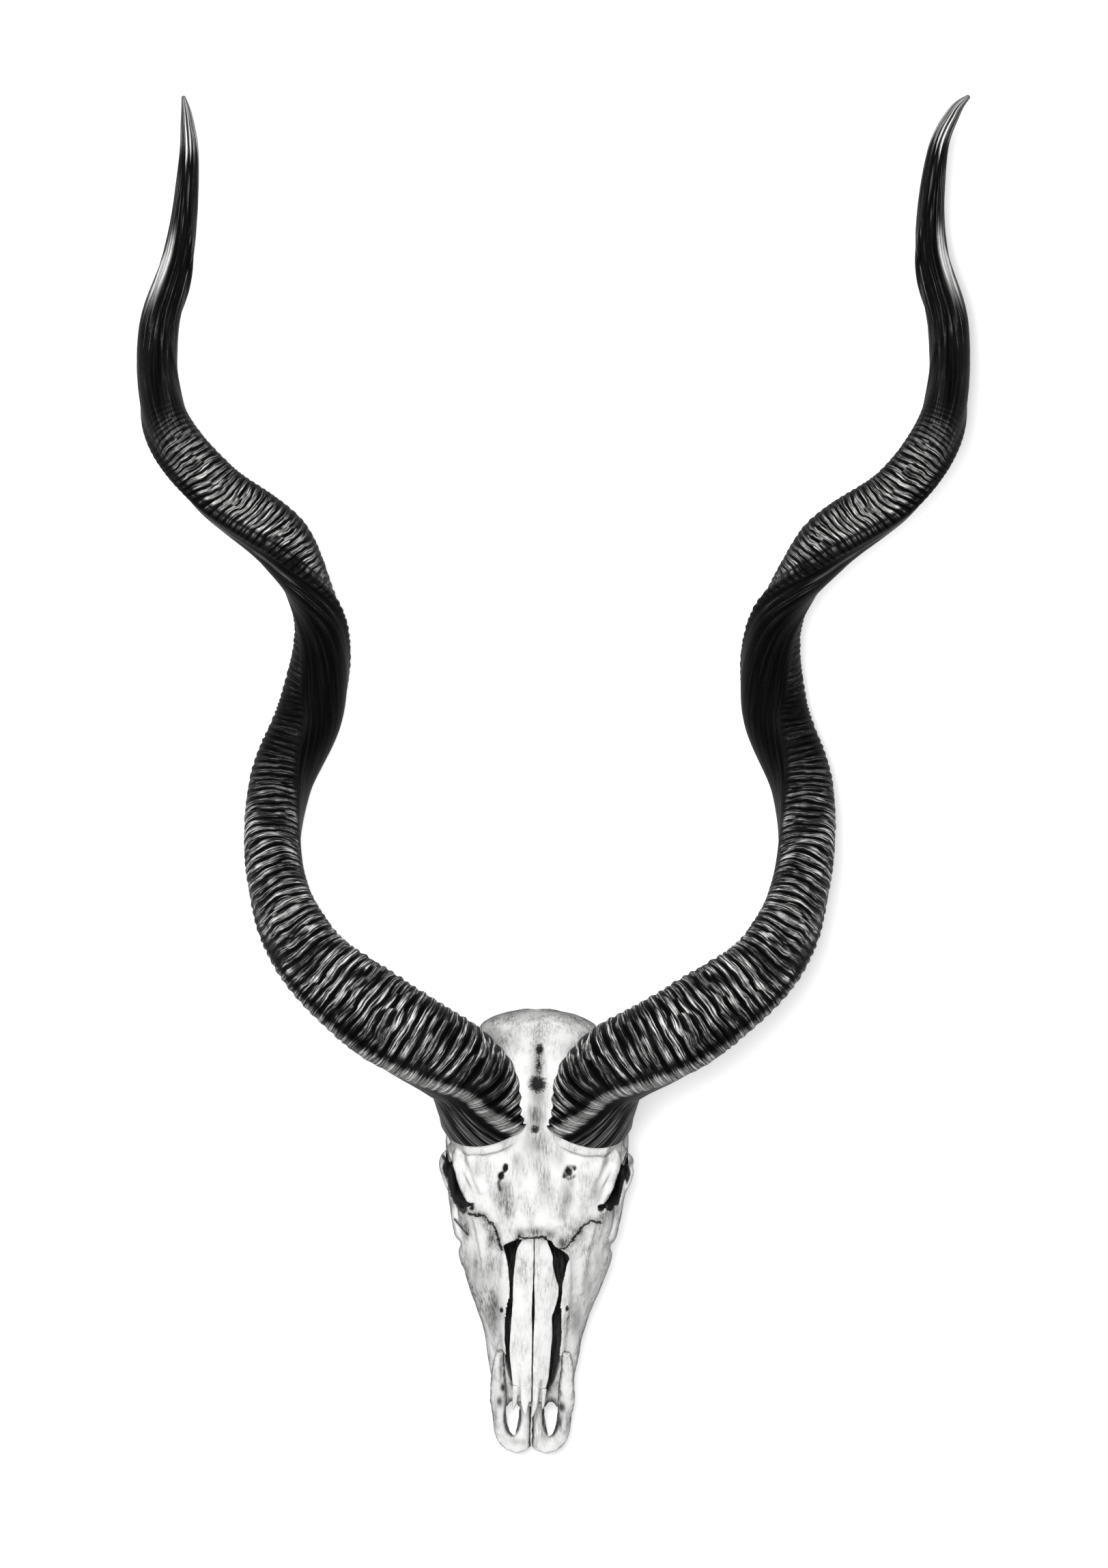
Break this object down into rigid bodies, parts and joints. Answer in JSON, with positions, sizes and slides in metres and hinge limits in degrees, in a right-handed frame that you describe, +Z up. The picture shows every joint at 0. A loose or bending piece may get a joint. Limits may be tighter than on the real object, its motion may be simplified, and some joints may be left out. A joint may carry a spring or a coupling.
{
  "type": "kudu skull",
  "caption": "Antelope skull without its lower jaw, lying face up, with two long horns that sweep out and up in open spirals.",
  "frame": {"origin": "on the surface the skull lies on, under the middle of the bounding box", "axes": "+Z up, away from the surface, the way the face looks; +Y along the horns towards their tips; -Y towards the nose; +X to the right as seen from above with the horn tips away from the viewer"},
  "size_m": [0.7093, 1.1566, 0.1747],
  "materials": {
    "bone": "dry matt bone, off-white, mottled with pale grey, darker in its pits and seams",
    "horn": "charcoal horn with cross ridges and fine lengthwise grain, slightly glossy, pale at the last few centimetres",
    "enamel": "ivory tooth enamel, satin"
  },
  "bodies": {
    "root": {"cranium": "bone", "nasal_left": "bone", "nasal_right": "bone", "premaxilla_left": "bone", "premaxilla_right": "bone", "horn_left": "horn", "horn_right": "horn", "premolar_1_left": "enamel", "premolar_2_left": "enamel", "premolar_3_left": "enamel", "molar_1_left": "enamel", "molar_2_left": "enamel", "molar_3_left": "enamel", "premolar_1_right": "enamel", "premolar_2_right": "enamel", "premolar_3_right": "enamel", "molar_1_right": "enamel", "molar_2_right": "enamel", "molar_3_right": "enamel"}
  },
  "joints": []
}
